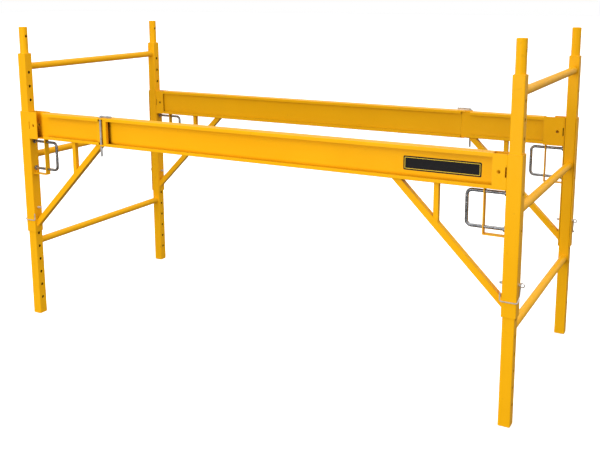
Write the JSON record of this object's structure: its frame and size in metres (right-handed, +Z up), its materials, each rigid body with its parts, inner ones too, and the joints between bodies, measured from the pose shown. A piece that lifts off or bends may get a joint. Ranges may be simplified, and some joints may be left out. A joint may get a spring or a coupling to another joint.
{
  "type": "knock-down trestle frame",
  "caption": "Knock-down steel trestle: ladder end frames with drilled posts and stacking spigots, joined by two braced side rails held by sliding latches and pins.",
  "frame": {"origin": "on the floor, midway between the four posts", "axes": "+X along the rails, +Y from the front rail to the rear rail, +Z up"},
  "size_m": [1.8866, 0.7932, 1.091],
  "materials": {
    "yellow_coat": "semi-gloss yellow powder coat",
    "plated_latch": "bright zinc-plated steel bar",
    "plated_pin": "dull zinc-plated steel"
  },
  "bodies": {
    "frame": {"arm_front": "yellow_coat", "arm_rear": "yellow_coat", "beam_front": "yellow_coat", "beam_rear": "yellow_coat", "brace_fl": "yellow_coat", "brace_fr": "yellow_coat", "brace_rl": "yellow_coat", "brace_rr": "yellow_coat", "ear_in_fl": "yellow_coat", "ear_in_fr": "yellow_coat", "ear_in_rl": "yellow_coat", "ear_in_rr": "yellow_coat", "ear_out_fl": "yellow_coat", "ear_out_fr": "yellow_coat", "ear_out_rl": "yellow_coat", "ear_out_rr": "yellow_coat", "post_fl": "yellow_coat", "post_fr": "yellow_coat", "post_rl": "yellow_coat", "post_rr": "yellow_coat", "rung_low_left": "yellow_coat", "rung_low_right": "yellow_coat", "rung_mid_left": "yellow_coat", "rung_mid_right": "yellow_coat", "rung_top_left": "yellow_coat", "rung_top_right": "yellow_coat", "sleeve_fl": "yellow_coat", "sleeve_fr": "yellow_coat", "sleeve_rl": "yellow_coat", "sleeve_rr": "yellow_coat", "spigot_fl": "yellow_coat", "spigot_fr": "yellow_coat", "spigot_rl": "yellow_coat", "spigot_rr": "yellow_coat", "strap_fl": "yellow_coat", "strap_fr": "yellow_coat", "strap_rl": "yellow_coat", "strap_rr": "yellow_coat", "strut_fl": "yellow_coat", "strut_fr": "yellow_coat", "strut_rl": "yellow_coat", "strut_rr": "yellow_coat"},
    "latch_fl": {"latch_fl": "plated_latch", "collars_fl": "plated_latch"},
    "latch_fr": {"latch_fr": "plated_latch", "collars_fr": "plated_latch"},
    "latch_rl": {"latch_rl": "plated_latch", "collars_rl": "plated_latch"},
    "latch_rr": {"latch_rr": "plated_latch", "collars_rr": "plated_latch"},
    "lock_fl": {"lock_pin_fl": "plated_pin", "lock_wire_fl": "plated_pin"},
    "lock_fr": {"lock_pin_fr": "plated_pin", "lock_wire_fr": "plated_pin"},
    "lock_rl": {"lock_pin_rl": "plated_pin", "lock_wire_rl": "plated_pin"},
    "lock_rr": {"lock_pin_rr": "plated_pin", "lock_wire_rr": "plated_pin"},
    "drop_pin_front": {"drop_pin_front": "plated_pin"},
    "drop_pin_rear": {"drop_pin_rear": "plated_pin"}
  },
  "joints": [
    {"name": "latch_fl_slide", "type": "slide", "parent": "frame", "child": "latch_fl", "axis": [1, 0, 0], "range_m": [0, 0.038]},
    {"name": "latch_fr_slide", "type": "slide", "parent": "frame", "child": "latch_fr", "axis": [-1, 0, 0], "range_m": [0, 0.038]},
    {"name": "latch_rl_slide", "type": "slide", "parent": "frame", "child": "latch_rl", "axis": [1, 0, 0], "range_m": [0, 0.038]},
    {"name": "latch_rr_slide", "type": "slide", "parent": "frame", "child": "latch_rr", "axis": [-1, 0, 0], "range_m": [0, 0.038]},
    {"name": "lock_fl_slide", "type": "slide", "parent": "frame", "child": "lock_fl", "axis": [-1, 0, 0], "range_m": [0, 0.06]},
    {"name": "lock_fr_slide", "type": "slide", "parent": "frame", "child": "lock_fr", "axis": [1, 0, 0], "range_m": [0, 0.06]},
    {"name": "lock_rl_slide", "type": "slide", "parent": "frame", "child": "lock_rl", "axis": [-1, 0, 0], "range_m": [0, 0.06]},
    {"name": "lock_rr_slide", "type": "slide", "parent": "frame", "child": "lock_rr", "axis": [1, 0, 0], "range_m": [0, 0.06]},
    {"name": "drop_pin_front_slide", "type": "slide", "parent": "frame", "child": "drop_pin_front", "axis": [0, 0, 1], "range_m": [0, 0.15]},
    {"name": "drop_pin_rear_slide", "type": "slide", "parent": "frame", "child": "drop_pin_rear", "axis": [0, 0, 1], "range_m": [0, 0.15]}
  ]
}
